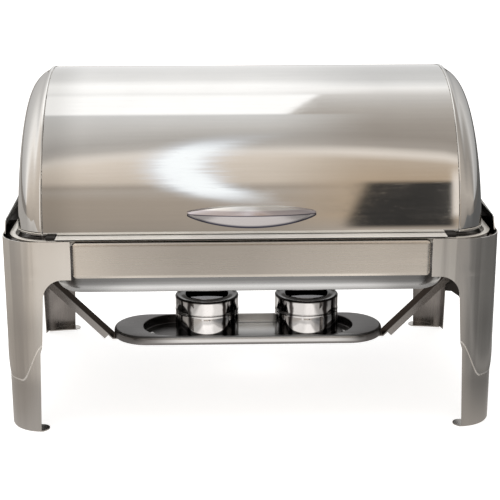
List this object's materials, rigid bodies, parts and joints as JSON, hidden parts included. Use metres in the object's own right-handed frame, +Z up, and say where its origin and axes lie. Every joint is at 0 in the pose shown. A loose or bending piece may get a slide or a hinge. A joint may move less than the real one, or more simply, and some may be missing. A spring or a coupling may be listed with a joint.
{
  "type": "roll top chafer",
  "caption": "Rectangular roll top chafer: half-cylinder steel cover rolling back on side pins over a food pan and water pan, on sheet legs, with a fuel shelf and holders below.",
  "frame": {"origin": "on the floor, at the middle of the whole object's length and depth, handle included", "axes": "+Z up, front (handle side) faces -Y, +X to the right seen from the front"},
  "size_m": [0.65, 0.448, 0.456],
  "materials": {
    "polished_steel": "polished stainless steel with a faint vertical grain",
    "mirror_steel": "mirror-polished stainless steel",
    "cover_steel": "mirror-polished stainless steel with fine scratches",
    "brushed_steel": "brushed lengthways, warm tint",
    "dark_steel": "plain mill finish",
    "satin_steel": "satin, slightly darker than the frame",
    "pan_steel": "satin stainless steel",
    "chrome_steel": "polished",
    "holder_steel": "mirror-polished",
    "fuel_tin": "plain tinplate",
    "rubber": "black silicone rubber",
    "nylon": "natural nylon"
  },
  "bodies": {
    "frame": {"leg_front_left": "polished_steel", "leg_front_right": "polished_steel", "leg_rear_left": "polished_steel", "leg_rear_right": "polished_steel", "end_panel_left": "mirror_steel", "end_panel_right": "mirror_steel", "front_apron": "brushed_steel", "rear_apron": "brushed_steel", "front_ledge": "polished_steel", "rear_ledge": "polished_steel", "collar": "polished_steel", "pan_support_ring": "dark_steel", "ring_bracket_left": "dark_steel", "front_bracket_left": "dark_steel", "cover_bumper_left": "rubber", "hinge_pin_left": "chrome_steel", "hinge_spacer_left": "chrome_steel", "hinge_washer_left": "nylon", "hinge_nut_left": "chrome_steel", "ring_bracket_right": "dark_steel", "front_bracket_right": "dark_steel", "cover_bumper_right": "rubber", "hinge_pin_right": "chrome_steel", "hinge_spacer_right": "chrome_steel", "hinge_washer_right": "nylon", "hinge_nut_right": "chrome_steel", "fuel_shelf": "satin_steel", "shelf_strut_left": "satin_steel", "shelf_rivet_left": "chrome_steel", "strut_rivet_left": "chrome_steel", "shelf_strut_right": "satin_steel", "shelf_rivet_right": "chrome_steel", "strut_rivet_right": "chrome_steel"},
    "cover": {"cover_panel": "cover_steel", "cover_end_left": "cover_steel", "cover_end_right": "cover_steel", "handle": "chrome_steel", "handle_screw_left": "chrome_steel", "handle_screw_right": "chrome_steel", "hinge_plate_left": "dark_steel", "hinge_plate_right": "dark_steel"},
    "water_pan": {"water_pan": "pan_steel"},
    "food_pan": {"food_pan": "pan_steel"},
    "burner_left": {"fuel_holder_left": "holder_steel", "fuel_cover_left": "holder_steel", "fuel_can_left": "fuel_tin", "damper_rivet_left": "chrome_steel"},
    "damper_left": {"damper_left": "holder_steel"},
    "burner_right": {"fuel_holder_right": "holder_steel", "fuel_cover_right": "holder_steel", "fuel_can_right": "fuel_tin", "damper_rivet_right": "chrome_steel"},
    "damper_right": {"damper_right": "holder_steel"}
  },
  "joints": [
    {"name": "cover_roll", "type": "hinge", "parent": "frame", "child": "cover", "pos_m": [0, 0.007, 0.276], "axis": [-1, 0, 0], "range_deg": [0, 70]},
    {"name": "water_pan_lift", "type": "slide", "parent": "frame", "child": "water_pan", "axis": [0, 0, 1], "range_m": [0, 0.02]},
    {"name": "food_pan_lift", "type": "slide", "parent": "water_pan", "child": "food_pan", "axis": [0, 0, 1], "range_m": [0, 0.055]},
    {"name": "burner_left_lift", "type": "slide", "parent": "frame", "child": "burner_left", "axis": [0, 0, 1], "range_m": [0, 0.045]},
    {"name": "damper_left_swing", "type": "hinge", "parent": "burner_left", "child": "damper_left", "pos_m": [-0.0605, 0.0455, 0.1232], "axis": [0, 0, -1], "range_deg": [0, 75]},
    {"name": "burner_right_lift", "type": "slide", "parent": "frame", "child": "burner_right", "axis": [0, 0, 1], "range_m": [0, 0.045]},
    {"name": "damper_right_swing", "type": "hinge", "parent": "burner_right", "child": "damper_right", "pos_m": [0.086, 0.0455, 0.1232], "axis": [0, 0, 1], "range_deg": [0, 75]}
  ]
}
